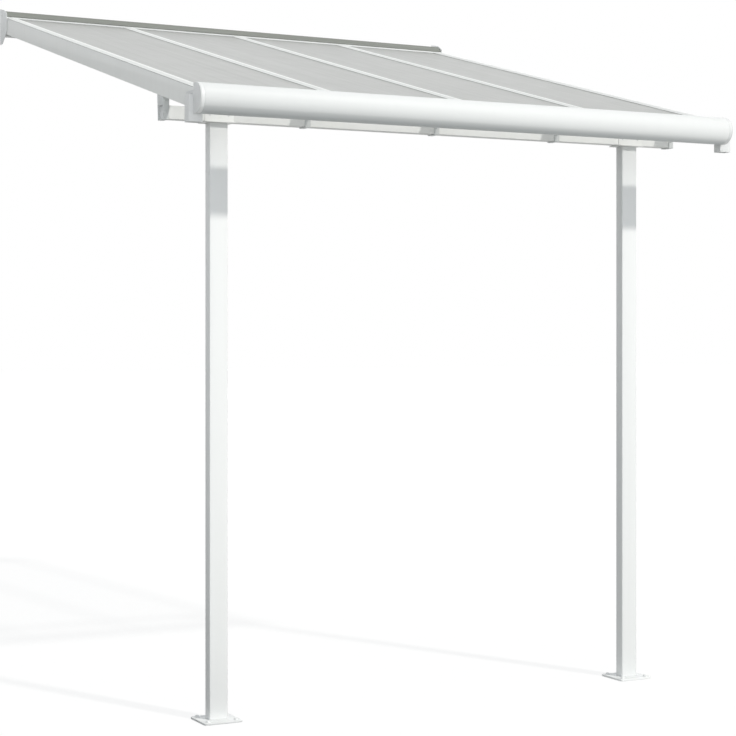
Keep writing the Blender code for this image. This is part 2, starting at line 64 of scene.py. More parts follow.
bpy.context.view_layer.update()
BODY = "root"
SIDES = ((-1, "left"), (1, "right"))
ORIGIN = (0.0, 0.0, 0.0)
BAY_COUNT = 4
BAY_PITCH = 0.575
RAFTER_COUNT = BAY_COUNT + 1
EASED_EDGE = 0.0006
EASE_LIMIT_DEG = 34.0
WELD_DISTANCE = 0.00001
FLAT_LIMIT_DEG = 0.5


# Node trees


class Kind(Enum):
    """The kinds of group socket that have no default value."""

    GEOMETRY = "NodeSocketGeometry"
    MATERIAL = "NodeSocketMaterial"


Default = Union[Kind, int, float, tuple[float, ...]]


def socket_kind(default: Default) -> str:
    """Finds the kind of socket that holds a default value.

    Args:
        default: A kind, a whole number, a number, three numbers, or a colour's four.

    Returns:
        Blender's name for the kind.
    """
    if isinstance(default, Kind):
        return default.value
    if isinstance(default, int):
        return "NodeSocketInt"
    if isinstance(default, float):
        return "NodeSocketFloat"
    return "NodeSocketColor" if len(default) == 4 else "NodeSocketVector"


class NodeWriter:
    """Adds nodes to a tree and joins them up."""

    group_kind: str = "ShaderNodeTree"

    def __init__(self, tree: bpy.types.NodeTree) -> None:
        """Keeps the tree that is written to."""
        self.tree = tree

    @classmethod
    def group(
        cls, name: str, inputs: Mapping[str, Default], outputs: Mapping[str, Default]
    ) -> tuple["NodeWriter", Sockets, Sockets]:
        """Starts a node group with its sockets.

        Args:
            name: The group's name.
            inputs: The default value, or the kind, of each named input.
            outputs: The same for the outputs.

        Returns:
            A writer for the group's tree, what the group is given, and what it gives.
        """
        tree = bpy.data.node_groups.new(name, cls.group_kind)
        for sockets, way in ((inputs, "INPUT"), (outputs, "OUTPUT")):
            for label, default in sockets.items():
                kind = socket_kind(default)
                socket = tree.interface.new_socket(label, in_out=way, socket_type=kind)
                if not isinstance(default, Kind):
                    socket.default_value = default
        writer = cls(tree)
        given = writer.add("NodeGroupInput").outputs
        return writer, given, writer.add("NodeGroupOutput").inputs

    def add(
        self,
        kind: str,
        inputs: Optional[Mapping[Union[str, int], Value]] = None,
        **settings: object,
    ) -> bpy.types.Node:
        """Adds one node.

        Args:
            kind: Blender's name for the node's type.
            inputs: A value or another node's output for each named or numbered input.
            settings: Properties of the node itself.

        Returns:
            The new node.
        """
        node = self.tree.nodes.new(kind)
        for key, value in settings.items():
            setattr(node, key, value)
        for key, value in (inputs or {}).items():
            self.feed(node.inputs[key], value)
        return node

    def feed(self, socket: Socket, value: Value) -> None:
        """Links an output to a socket, or sets the socket's own value.

        Args:
            socket: The input that is fed.
            value: Another node's output or a plain value, which is three numbers for a colour.
        """
        if isinstance(value, Socket):
            self.tree.links.new(value, socket)
        elif socket.type == "RGBA":
            socket.default_value = (*value, 1.0)
        else:
            socket.default_value = value

    def math(self, operation: str, *values: Value) -> Socket:
        """One sum on numbers."""
        return self.add("ShaderNodeMath", dict(enumerate(values)), operation=operation).outputs[0]

    def spread(
        self, value: Value, low: float, high: float, new_low: float, new_high: float
    ) -> Socket:
        """A value taken from one range into another and held there."""
        inputs = {0: value, 1: low, 2: high, 3: new_low, 4: new_high}
        return self.add("ShaderNodeMapRange", inputs).outputs[0]

    def blend(self, factor: Value, first: Value, second: Value) -> Socket:
        """A mix of two colours."""
        inputs = {0: factor, 6: first, 7: second}
        return self.add("ShaderNodeMix", inputs, data_type="RGBA").outputs[2]

    def noise(self, vector: Value, scale: Value, detail: float) -> Socket:
        """Noise from 0 to 1."""
        inputs = {"Vector": vector, "Scale": scale, "Detail": detail}
        return self.add("ShaderNodeTexNoise", inputs).outputs[0]

    def stretched(self, vector: Value, scale: Value) -> Socket:
        """A vector scaled by its own amount on each axis."""
        inputs = {0: vector, 1: scale}
        return self.add("ShaderNodeVectorMath", inputs, operation="MULTIPLY").outputs[0]

    def xyz(self, x: Value = 0.0, y: Value = 0.0, z: Value = 0.0) -> Socket:
        """A vector put together from three numbers."""
        return self.add("ShaderNodeCombineXYZ", {0: x, 1: y, 2: z}).outputs[0]

    def upward(self) -> Socket:
        """How far a face looks up, from -1 to 1."""
        normal = self.add("ShaderNodeNewGeometry").outputs["Normal"]
        return self.add("ShaderNodeSeparateXYZ", {0: normal}).outputs[2]

    def bump(self, height: Value, strength: float, depth: float) -> bpy.types.Node:
        """A bump from a height."""
        inputs = {"Height": height, "Strength": strength, "Distance": depth}
        return self.add("ShaderNodeBump", inputs)


class GrowthWriter(NodeWriter):
    """A node writer with the steps that the growth trees share."""

    group_kind: str = "GeometryNodeTree"

    def real(self, geometry: Socket) -> Socket:
        """Real geometry in place of instances."""
        return self.add("GeometryNodeRealizeInstances", {0: geometry}).outputs[0]

    def line(self, count: Value, start: Value, offset: Value) -> Socket:
        """Points in a line."""
        inputs = {"Count": count, "Start Location": start, "Offset": offset}
        return self.add("GeometryNodeMeshLine", inputs).outputs[0]

    def copies(self, points: Socket, shape: Socket, turn: Value = ORIGIN) -> Socket:
        """Real copies of a shape, one on each point."""
        inputs = {"Points": points, "Instance": shape, "Rotation": turn}
        return self.real(self.add("GeometryNodeInstanceOnPoints", inputs).outputs[0])

    def box(self, size: Value, place: Value = ORIGIN) -> Socket:
        """A box of a size at a place."""
        cube = self.add("GeometryNodeMeshCube", {"Size": size}).outputs[0]
        return self.add("GeometryNodeTransform", {"Geometry": cube, "Translation": place}).outputs[0]

    def on_slope(self, geometry: Socket, given: Sockets) -> Socket:
        """Lays what was built flat at height 0 onto the roof, with its ends left plumb.

        Args:
            geometry: What was built flat.
            given: What the group is given, with the roof's slope in it.

        Returns:
            The geometry on the slope.
        """
        position = self.add("GeometryNodeInputPosition").outputs[0]
        x, y, z = self.add("ShaderNodeSeparateXYZ", {0: position}).outputs
        along = self.math("MULTIPLY", y, given["Fall"])
        above = self.math("MULTIPLY", z, given["Plumb"])
        height = self.math("ADD", self.math("ADD", along, above), given["Wall Height"])
        inputs = {"Geometry": geometry, "Position": self.xyz(x, y, height)}
        return self.add("GeometryNodeSetPosition", inputs).outputs[0]

    def end(self, geometry: Socket, given: Sockets, result: Sockets) -> bpy.types.NodeTree:
        """Ends a tree with real geometry in its material.

        Args:
            geometry: What the tree has built.
            given: What the group is given, with the material in it.
            result: What the group gives.

        Returns:
            The tree.
        """
        inputs = {"Geometry": self.real(geometry), "Material": given["Material"]}
        self.feed(result["Geometry"], self.add("GeometryNodeSetMaterial", inputs).outputs[0])
        return self.tree


class SharedEffects:
    """The shader groups that several finishes share. Scales are repeats in a metre."""

    broad_scale: float = 9.0
    rain_scale: Point3 = (38.0, 38.0, 1.3)
    dust_scale: float = 14.0
    fine_streaks: Point3 = (230.0, 1.1, 1.1)
    broad_streaks: Point3 = (34.0, 0.5, 0.5)
    cloud_scale: float = 2.2
    streak_contrast: float = 4.0

    def __init__(self) -> None:
        """Builds each group once."""
        self.grain = self._grain()
        self.weather_and_shade = self._weather_and_shade()
        self.flutes = self._flutes()

    def _grain(self) -> bpy.types.NodeTree:
        """Builds a fine uneven surface, such as orange peel in paint or the grain of moulded plastic.

        Returns:
            The group's tree.
        """
        w, given, result = NodeWriter.group(
            "fine_grain",
            {"Vector": ORIGIN, "Size": 0.002, "Roughness": 0.4, "Spread": 0.1},
            {"Height": 0.0, "Roughness": 0.0},
        )
        fine = w.noise(given["Vector"], w.math("DIVIDE", 1.0, given["Size"]), 2.0)
        broad = w.noise(given["Vector"], self.broad_scale, 3.0)
        offset = w.math("MULTIPLY", w.math("SUBTRACT", broad, 0.5), given["Spread"])
        w.feed(result["Height"], fine)
        w.feed(result["Roughness"], w.math("ADD", given["Roughness"], offset))
        return w.tree

    def _weather_and_shade(self) -> bpy.types.NodeTree:
        """Builds faint rain marks down a face, dust on what faces up, and painted shade on what faces
        down.

        Returns:
            The group's tree.
        """
        w, given, result = NodeWriter.group(
            "weather_and_shade",
            {
                "Vector": ORIGIN, "Color": (0.8, 0.8, 0.8, 1.0), "Dust And Shade": (0.5, 0.5, 0.48, 1.0),
                "Rain": 0.05, "Settled": 0.05, "Painted Shade": 0.0,
            },
            {"Color": (0.8, 0.8, 0.8, 1.0)},
        )
        up = w.upward()
        streaks = w.noise(w.stretched(given["Vector"], self.rain_scale), 1.0, 3.0)
        rain = w.math("MULTIPLY", w.spread(streaks, 0.45, 0.75, 0.0, 1.0), given["Rain"])
        patches = w.spread(w.noise(given["Vector"], self.dust_scale, 4.0), 0.35, 0.7, 0.3, 1.0)
        lying = w.math("MULTIPLY", w.spread(up, 0.3, 1.0, 0.0, 1.0), patches)
        settled = w.math("MULTIPLY", lying, given["Settled"])
        # Painted shade: faces that look down are darkened towards the dust-and-shade colour.
        painted_shade = w.math("MULTIPLY", w.spread(up, -0.92, -0.58, 1.0, 0.0), given["Painted Shade"])
        amount = w.math("MAXIMUM", w.math("MAXIMUM", rain, settled), painted_shade)
        w.feed(result["Color"], w.blend(amount, given["Color"], given["Dust And Shade"]))
        return w.tree

    def _flutes(self) -> bpy.types.NodeTree:
        """Builds light and dark lines down the slope of a fluted sheet.

        Returns:
            The group's tree.
        """
        w, given, result = NodeWriter.group(
            "flutes",
            {"Vector": ORIGIN, "Pitch": 0.006, "Depth": 0.1},
            {"Shade": 0.0, "Height": 0.0},
        )
        across = w.add("ShaderNodeSeparateXYZ", {0: given["Vector"]}).outputs[0]
        turns = w.math("DIVIDE", w.math("MULTIPLY", across, 2.0 * math.pi), given["Pitch"])
        fine = w.noise(w.stretched(given["Vector"], self.fine_streaks), 1.0, 2.0)
        broad = w.noise(w.stretched(given["Vector"], self.broad_streaks), 1.0, 2.0)
        cloud = w.noise(given["Vector"], self.cloud_scale, 3.0)
        mixed = w.math("ADD", w.math("MULTIPLY", fine, 0.45), w.math("MULTIPLY", broad, 0.35))
        mixed = w.math("ADD", mixed, w.math("MULTIPLY", cloud, 0.2))
        swing = w.math("MULTIPLY", w.math("SUBTRACT", mixed, 0.5), given["Depth"])
        shade = w.math("ADD", 1.0, w.math("MULTIPLY", swing, self.streak_contrast))
        w.feed(result["Shade"], shade)
        w.feed(result["Height"], w.math("SINE", turns))
        return w.tree


# Finishes


class Slot(Enum):
    """The record's material slots."""

    FRAME = "frame_white"
    GUTTER = "gutter_white"
    BAR = "bar_white"
    CAP = "cap_white"
    SHEET = "roof_sheet"
    SEAL = "seal_grey"
    BRACKET = "bracket_grey"


@dataclass(frozen=True)
class PaintJob:
    """A material while it is made: its writer, its shader's inputs, its place and the shared groups."""

    writer: NodeWriter
    shader: Sockets
    place: Socket
    effects: SharedEffects


@dataclass(frozen=True)
class Finish:
    """What every finish has: a name, the slot it belongs to, its colour and how rough it is."""

    name: str
    slot: Slot
    colour: Colour
    roughness: float
    grain_size: float = 0.002
    grain_depth: float = 0.00004
    grain_strength: float = 0.6
    roughness_spread: float = 0.10
    specular: float = 0.5

    def material(self, effects: SharedEffects) -> bpy.types.Material:
        """Builds the material: its grain here, and its colour as each kind of finish says.

        Args:
            effects: The groups that the finishes share.

        Returns:
            The material.
        """
        material = bpy.data.materials.new(self.name)
        material.use_nodes = True
        material.diffuse_color = (*self.colour, 1.0)
        w = NodeWriter(material.node_tree)
        shader = material.node_tree.nodes["Principled BSDF"].inputs
        shader["Specular IOR Level"].default_value = self.specular
        place = w.add("ShaderNodeTexCoord").outputs["Object"]
        inputs = {
            "Vector": place, "Size": self.grain_size,
            "Roughness": self.roughness, "Spread": self.roughness_spread,
        }
        grain = w.add("ShaderNodeGroup", inputs, node_tree=effects.grain).outputs
        bump = w.bump(grain["Height"], self.grain_strength, self.grain_depth)
        w.feed(shader["Roughness"], grain["Roughness"])
        w.feed(shader["Normal"], bump.outputs["Normal"])
        self.paint(PaintJob(w, shader, place, effects))
        return material

    def paint(self, job: PaintJob) -> None:
        """Gives the shader its colour. Each kind of finish says how."""
        raise NotImplementedError


@dataclass(frozen=True)
class PowderCoat(Finish):
    """White powder coat on aluminium: satin, with orange peel, faint rain marks, dust, and painted
    shade on faces that look down.
    """

    # Colour of the rain marks and dust, and of the painted shade on faces that look down.
    dust_and_shade: Colour = (0.52, 0.53, 0.51)
    rain: float = 0.05
    settled: float = 0.05
    # Painted shade: how far the faces that look down are darkened.
    painted_shade: float = 0.0

    def paint(self, job: PaintJob) -> None:
        """Colours the coat, weathers it and paints shade on the faces that look down.

        Args:
            job: The material while it is made.
        """
        inputs = {
            "Vector": job.place, "Color": self.colour, "Dust And Shade": self.dust_and_shade,
            "Rain": self.rain, "Settled": self.settled, "Painted Shade": self.painted_shade,
        }
        weather_and_shade = job.writer.add("ShaderNodeGroup", inputs, node_tree=job.effects.weather_and_shade)
        job.writer.feed(job.shader["Base Color"], weather_and_shade.outputs["Color"])


@dataclass(frozen=True)
class Moulded(Finish):
    """Moulded plastic or rubber with its own cloudy tone, stretched where it was extruded."""

    tone: Colour = (0.5, 0.5, 0.5)
    stretch: Point3 = (12.0, 12.0, 12.0)

    def paint(self, job: PaintJob) -> None:
        """Colours the plastic with clouds of a second tone.

        Args:
            job: The material while it is made.
        """
        w = job.writer
        cloud = w.noise(w.stretched(job.place, self.stretch), 1.0, 4.0)
        share = w.spread(cloud, 0.35, 0.7, 0.0, 1.0)
        w.feed(job.shader["Base Color"], w.blend(share, self.colour, self.tone))


@dataclass(frozen=True)
class TwinWall(Finish):
    """Grey-clear twin-wall sheet: streaked, frosted, letting light through, and painted paler on the
    faces that look down, as painted light coming through it.

    Its alpha is seen for a ray that looks at it, and shade for a shadow ray or a diffuse ray.
    """

    dark: Colour = (0.32, 0.325, 0.315)
    # Painted light: the paler colours of faces that look down, standing in for light that comes through
    # the sheet.
    painted_light_below: Colour = (0.80, 0.81, 0.80)
    painted_light_below_dark: Colour = (0.66, 0.67, 0.66)
    pitch: float = 0.006
    streak_depth: float = 0.16
    streak_low: float = 0.85
    streak_high: float = 1.15
    rib_strength: float = 0.25
    rib_depth: float = 0.0002
    seen: float = 0.93
    shade: float = 0.06

    def paint(self, job: PaintJob) -> None:
        """Colours the sheet in streaks, paints its downward faces paler as painted light, gives it ribs
        and lets light through it.

        Args:
            job: The material while it is made.
        """
        w, shader = job.writer, job.shader
        inputs = {"Vector": job.place, "Pitch": self.pitch, "Depth": self.streak_depth}
        flutes = w.add("ShaderNodeGroup", inputs, node_tree=job.effects.flutes).outputs
        share = w.spread(flutes["Shade"], self.streak_low, self.streak_high, 1.0, 0.0)
        above = w.blend(share, self.colour, self.dark)
        # Painted light: faces that look down take the paler colours, as if lit through the sheet.
        painted_light_below = w.blend(share, self.painted_light_below, self.painted_light_below_dark)
        colour = w.blend(w.spread(w.upward(), -0.5, 0.5, 1.0, 0.0), above, painted_light_below)
        w.feed(shader["Base Color"], colour)
        ribs = w.bump(flutes["Height"], self.rib_strength, self.rib_depth)
        w.feed(ribs.inputs["Normal"], shader["Normal"].links[0].from_socket)
        w.feed(shader["Normal"], ribs.outputs["Normal"])
        path = w.add("ShaderNodeLightPath").outputs
        lighting = w.math("MAXIMUM", path["Is Shadow Ray"], path["Is Diffuse Ray"])
        w.feed(shader["Alpha"], w.spread(lighting, 0.0, 1.0, self.seen, self.shade))


@dataclass(frozen=True)
class BrushedMetal(Finish):
    """Bare steel in a cloud of two tones."""

    tone: Colour = (0.45, 0.46, 0.47)
    cloud_scale: float = 160.0

    def paint(self, job: PaintJob) -> None:
        """Colours the steel and makes it metal.

        Args:
            job: The material while it is made.
        """
        cloud = job.writer.noise(job.place, self.cloud_scale, 3.0)
        colour = job.writer.blend(cloud, self.colour, self.tone)
        job.writer.feed(job.shader["Base Color"], colour)
        job.writer.feed(job.shader["Metallic"], 1.0)


class Finishes:
    """Every finish of the cover, built once."""

    def __init__(self) -> None:
        """Builds the shared effects, each slot's finish, and the finishes of single pieces."""
        effects = SharedEffects()
        plans = (
            PowderCoat(
                "frame_powder_coat", Slot.FRAME, (0.85, 0.86, 0.86), 0.42,
                specular=0.25, painted_shade=0.45,
            ),
            # Painted shade: the gutter's undersides are darkened most, towards a bluish grey.
            PowderCoat(
                "gutter_powder_coat", Slot.GUTTER, (0.815, 0.825, 0.825), 0.50, specular=0.15,
                dust_and_shade=(0.48, 0.51, 0.52), rain=0.02, settled=0.02, painted_shade=0.65,
            ),
            PowderCoat(
                "bar_powder_coat", Slot.BAR, (0.80, 0.81, 0.80), 0.45,
                specular=0.25, settled=0.03,
            ),
            Moulded(
                "cap_plastic", Slot.CAP, (0.81, 0.82, 0.82), 0.45,
                grain_size=0.0012, grain_depth=0.00005, tone=(0.77, 0.78, 0.78),
            ),
            TwinWall(
                "twin_wall_sheet", Slot.SHEET, (0.44, 0.445, 0.435), 0.38,
                grain_size=0.004, grain_depth=0.00003, specular=0.2,
            ),
            Moulded(
                "seal_rubber", Slot.SEAL, (0.25, 0.26, 0.24), 0.72, grain_size=0.0008,
                grain_depth=0.00008, tone=(0.19, 0.20, 0.18), stretch=(1.5, 260.0, 260.0),
            ),
            Moulded(
                "bracket_plastic", Slot.BRACKET, (0.70, 0.72, 0.72), 0.50,
                grain_size=0.0010, grain_depth=0.00006, tone=(0.64, 0.66, 0.66),
            ),
        )
        self.by_slot = {plan.slot: plan.material(effects) for plan in plans}
        self.steel = BrushedMetal(
            "bare_steel", Slot.FRAME, (0.62, 0.63, 0.64), 0.34,
            grain_size=0.0006, grain_depth=0.00002,
        ).material(effects)
        self.gasket = Moulded(
            "gasket_rubber", Slot.SEAL, (0.50, 0.51, 0.50), 0.65, grain_size=0.0008,
            grain_depth=0.00006, tone=(0.44, 0.45, 0.44), stretch=(260.0, 1.5, 1.5),
        ).material(effects)
        # Painted light: a paler copy of the frame's white coat, which paints the rafters, beam and post
        # heads lighter than the posts.
        self.profile = PowderCoat(
            "painted_light_powder_coat", Slot.FRAME, (0.93, 0.935, 0.92), 0.42,
            specular=0.25, settled=0.03, painted_shade=0.45,
        ).material(effects)


# Growth trees


class GrowthTrees:
    """The Geometry Nodes trees, built once."""

    slope: Mapping[str, float] = {"Fall": 0.0, "Plumb": 1.0, "Wall Height": 0.0}
    ring_sides: int = 10

    def __init__(self) -> None:
        """Builds each tree."""
        self.pattern = self._pattern()
        self.sheet = self._sheet()
        self.bead = self._bead()

    def _start(self, name: str, inputs: Mapping[str, Default]) -> tuple[GrowthWriter, Sockets, Sockets]:
        """Starts a tree that takes a geometry first and a material last, and gives a geometry."""
        whole = {"Geometry": Kind.GEOMETRY, **inputs, "Material": Kind.MATERIAL}
        return GrowthWriter.group(name, whole, {"Geometry": Kind.GEOMETRY})

    def _pattern(self) -> bpy.types.NodeTree:
        """Builds the tree that copies a shape in rows and columns, such as screws along a rail.

        Returns:
            The tree.
        """
        inputs = {
            "Start": ORIGIN, "Across": ORIGIN, "Columns": 1, "Up": ORIGIN, "Rows": 1, "Turn": ORIGIN,
        }
        w, given, result = self._start("pattern", inputs)
        columns = w.line(given["Columns"], given["Start"], given["Across"])
        rows = w.line(given["Rows"], ORIGIN, given["Up"])
        placed = w.copies(w.copies(columns, rows), given["Geometry"], given["Turn"])
        return w.end(placed, given, result)

    def _sheet(self) -> bpy.types.NodeTree:
        """Builds the tree of a twin-wall sheet: two skins with a rib between them at every flute.

        Returns:
            The tree.
        """
        inputs = {
            "Middle": 0.0, "Width": 0.5, "Front": 0.0, "Back": 0.0, "Top": 0.0, "Thickness": 0.006,
            "Skin": 0.0005, "Rib": 0.0004, "Flutes": 90, **self.slope,
        }
        w, given, result = self._start("twin_wall", inputs)
        skin, thickness = given["Skin"], given["Thickness"]
        length = w.math("SUBTRACT", given["Back"], given["Front"])
        centre = w.math("DIVIDE", w.math("ADD", given["Back"], given["Front"]), 2.0)
        top_level = w.math("SUBTRACT", given["Top"], w.math("DIVIDE", skin, 2.0))
        bottom_level = w.math("SUBTRACT", w.math("ADD", top_level, skin), thickness)
        joined = w.add("GeometryNodeJoinGeometry")
        for level in (top_level, bottom_level):
            skin_size = w.xyz(given["Width"], length, skin)
            w.feed(joined.inputs[0], w.box(skin_size, w.xyz(given["Middle"], centre, level)))
        rib = w.box(w.xyz(given["Rib"], length, w.math("SUBTRACT", thickness, skin)))
        span = w.math("SUBTRACT", given["Width"], given["Rib"])
        first = w.math("SUBTRACT", given["Middle"], w.math("DIVIDE", span, 2.0))
        middle_level = w.math("SUBTRACT", given["Top"], w.math("DIVIDE", thickness, 2.0))
        pitch = w.math("DIVIDE", span, given["Flutes"])
        count = w.math("ADD", given["Flutes"], 1.0)
        feet = w.line(count, w.xyz(first, centre, middle_level), w.xyz(pitch))
        w.feed(joined.inputs[0], w.copies(feet, rib))
        return w.end(w.on_slope(joined.outputs[0], given), given, result)

    def _bead(self) -> bpy.types.NodeTree:
        """Builds the tree of round beads in pairs down the slope, such as gaskets beside the bars.

        Returns:
            The tree.
        """
        inputs = {
            "First": 0.0, "Pair Gap": 0.05, "Pitch": 0.5, "Pairs": 5, "Front": 0.0, "Back": 0.0,
            "Level": 0.0, "Radius": 0.001, **self.slope,
        }
        w, given, result = self._start("beads", inputs)
        ends = {
            "Start": w.xyz(y=given["Front"], z=given["Level"]),
            "End": w.xyz(y=given["Back"], z=given["Level"]),
        }
        path = w.add("GeometryNodeCurvePrimitiveLine", ends).outputs[0]
        ring = {"Resolution": self.ring_sides, "Radius": given["Radius"]}
        profile = w.add("GeometryNodeCurvePrimitiveCircle", ring).outputs[0]
        sweep = {"Curve": path, "Profile Curve": profile, "Fill Caps": True}
        bead = w.add("GeometryNodeCurveToMesh", sweep).outputs[0]
        bars = w.line(given["Pairs"], w.xyz(given["First"]), w.xyz(given["Pitch"]))
        sides = w.line(2, ORIGIN, w.xyz(given["Pair Gap"]))
        beads = w.copies(w.copies(bars, sides), bead)
        return w.end(w.on_slope(beads, given), given, result)


# Pieces


def lathe(profile: Sequence[Point2], segments: int) -> bmesh.types.BMesh:
    """Turns a profile about the Z axis.

    Args:
        profile: Radius and height of each point, from the axis at the bottom to the axis at the top.
        segments: How many sides the turned shape has.

    Returns:
        The closed shape.
    """
    shape = bmesh.new()
    rings = []
    for radius, height in profile:
        if radius == 0.0:
            rings.append([shape.verts.new((0.0, 0.0, height))] * segments)
            continue
        ring = []
        for step in range(segments):
            angle = 2.0 * math.pi * step / segments
            ring.append(shape.verts.new((radius * math.cos(angle), radius * math.sin(angle), height)))
        rings.append(ring)
    for low, high in zip(rings, rings[1:]):
        for step in range(segments):
            after = (step + 1) % segments
            corners = dict.fromkeys((low[step], low[after], high[after], high[step]))
            if len(corners) > 2:
                shape.faces.new(corners)
    bmesh.ops.recalc_face_normals(shape, faces=shape.faces)
    return shape


def prism(outline: Sequence[Point3], run: Point3) -> bmesh.types.BMesh:
    """Pushes a flat outline along a run.

    Args:
        outline: The corners in order.
        run: How far and which way the outline is pushed.

    Returns:
        The shape, closed at both ends.
    """
    shape = bmesh.new()
    near = [shape.verts.new(point) for point in outline]
    far = [shape.verts.new(Vector(point) + Vector(run)) for point in outline]
    shape.faces.new(near)
    shape.faces.new(far)
    for index in range(len(near)):
        shape.faces.new((near[index - 1], near[index], far[index], far[index - 1]))
    bmesh.ops.recalc_face_normals(shape, faces=shape.faces)
    return shape


def end_x(node: str, side: int) -> float:
    """Where a CAD node ends on its left side, -1, or its right side, 1."""
    low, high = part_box(node)
    return high.x if side > 0 else low.x


class Workshop:
    """Makes pieces, gives them their finish and fixes them to the cover."""

    def __init__(self, finishes: Finishes, trees: GrowthTrees) -> None:
        """Starts the list of pieces.

        Args:
            finishes: The finishes that pieces can have.
            trees: The growth trees that pieces can grow from.
        """
        self.finishes = finishes
        self.trees = trees
        self.made: list[bpy.types.Object] = []

    def place(self, name: str, mesh: bpy.types.Mesh) -> bpy.types.Object:
        """Puts a mesh into the scene as an object at the origin.

        Args:
            name: The object's name.
            mesh: The mesh, in place.

        Returns:
            The object.
        """
        item = bpy.data.objects.new(name, mesh)
        bpy.context.scene.collection.objects.link(item)
        return item

    def shape_object(self, name: str, shape: bmesh.types.BMesh) -> bpy.types.Object:
        """Turns a bmesh into an object in the scene.

        Args:
            name: The object's name.
            shape: The bmesh, which is used up.

        Returns:
            The object.
        """
        mesh = bpy.data.meshes.new(name)
        shape.to_mesh(mesh)
        shape.free()
        return self.place(name, mesh)

    def fit(
        self,
        piece: bpy.types.Object,
        slot: Slot,
        replaces: Iterable[str] = (),
        material: Optional[bpy.types.Material] = None,
    ) -> bpy.types.Object:
        """Finishes a piece and fixes it to the cover.

        Args:
            piece: The piece, in place.
            slot: The record's slot that its finish belongs to.
            replaces: CAD nodes that the piece stands for.
            material: A finish other than the slot's own.

        Returns:
            The piece.
        """
        piece.data.materials.clear()
        piece.data.materials.append(material or self.finishes.by_slot[slot])
        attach(piece, BODY)
        nodes = list(replaces)
        if nodes:
            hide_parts(*nodes)
        self.made.append(piece)
        log.info("%s: %d faces", piece.name, len(piece.data.polygons))
        return piece

    def soften(
        self,
        node: str,
        slot: Slot,
        width: float = EASED_EDGE,
        cutters: Sequence[bmesh.types.BMesh] = (),
        material: Optional[bpy.types.Material] = None,
    ) -> bpy.types.Object:
        """Puts a copy of a CAD node in its place, with its sharp edges eased and its curves smooth.

        Args:
            node: The CAD node.
            slot: The record's slot of its finish.
            width: How far the edges are eased.
            cutters: Closed shapes that are taken out of the copy.
            material: A finish other than the slot's own.

        Returns:
            The piece that stands for the node.
        """
        shape = bmesh.new()
        shape.from_mesh(bpy.data.objects[node].data)
        bmesh.ops.remove_doubles(shape, verts=shape.verts, dist=WELD_DISTANCE)
        flat = math.radians(FLAT_LIMIT_DEG)
        bmesh.ops.dissolve_limit(shape, angle_limit=flat, verts=shape.verts, edges=shape.edges)
        piece = self.shape_object(node + "_body", shape)
        for cutter in cutters:
            self._take_out(piece, cutter)
        self.ease(piece, width)
        return self.fit(piece, slot, (node,), material)

    def ease(self, piece: bpy.types.Object, width: float) -> None:
        """Eases a piece's sharp edges and smooths its curves.

        Args:
            piece: The piece.
            width: How far the edges are eased.
        """
        piece.data.shade_smooth()
        edge = piece.modifiers.new("eased_edges", "BEVEL")
        edge.width = width
        edge.segments = 2
        edge.limit_method = "ANGLE"
        edge.angle_limit = math.radians(EASE_LIMIT_DEG)
        edge.harden_normals = True

    def smooth(self, piece: bpy.types.Object, sharp_deg: float) -> None:
        """Smooths a piece's curves, and keeps the edges that turn more than an angle."""
        piece.data.shade_smooth()
        piece.data.set_sharp_from_angle(angle=math.radians(sharp_deg))

    def _take_out(self, piece: bpy.types.Object, cutter: bmesh.types.BMesh) -> None:
        """Cuts a closed shape out of a piece's mesh.

        Args:
            piece: The piece that is cut.
            cutter: The closed shape, which is used up.
        """
        tool = self.shape_object("cutter", cutter)
        step = piece.modifiers.new("cut", "BOOLEAN")
        step.operation = "DIFFERENCE"
        step.solver = "EXACT"
        step.object = tool
        graph = bpy.context.evaluated_depsgraph_get()
        mesh = bpy.data.meshes.new_from_object(piece.evaluated_get(graph))
        piece.modifiers.remove(step)
        old, piece.data = piece.data, mesh
        bpy.data.meshes.remove(old)
        bpy.data.objects.remove(tool, do_unlink=True)

    def grow(
        self,
        name: str,
        tree: bpy.types.NodeTree,
        values: Mapping[str, object],
        shape: Optional[bmesh.types.BMesh] = None,
    ) -> bpy.types.Object:
        """Runs a Geometry Nodes tree once and keeps its result as a plain mesh.

        Args:
            name: The piece's name.
            tree: The tree.
            values: A value for each of the tree's named inputs.
            shape: What goes into the tree's geometry input, where it uses one.

        Returns:
            The piece, as a plain mesh.
        """
        seed = self.shape_object(name + "_seed", shape or bmesh.new())
        step = seed.modifiers.new("grow", "NODES")
        step.node_group = tree
        sockets = {
            item.name: item.identifier
            for item in tree.interface.items_tree
            if item.item_type == "SOCKET" and item.in_out == "INPUT"
        }
        for key, value in values.items():
            step[sockets[key]] = value
        graph = bpy.context.evaluated_depsgraph_get()
        mesh = bpy.data.meshes.new_from_object(seed.evaluated_get(graph))
        mesh.name = name
        bpy.data.objects.remove(seed, do_unlink=True)
        return self.place(name, mesh)


# Fasteners


class Head(Enum):
    """The kinds of screw and bolt head."""

    PAN = "pan"
    WASHERED = "washered"
    CAPPED = "capped"


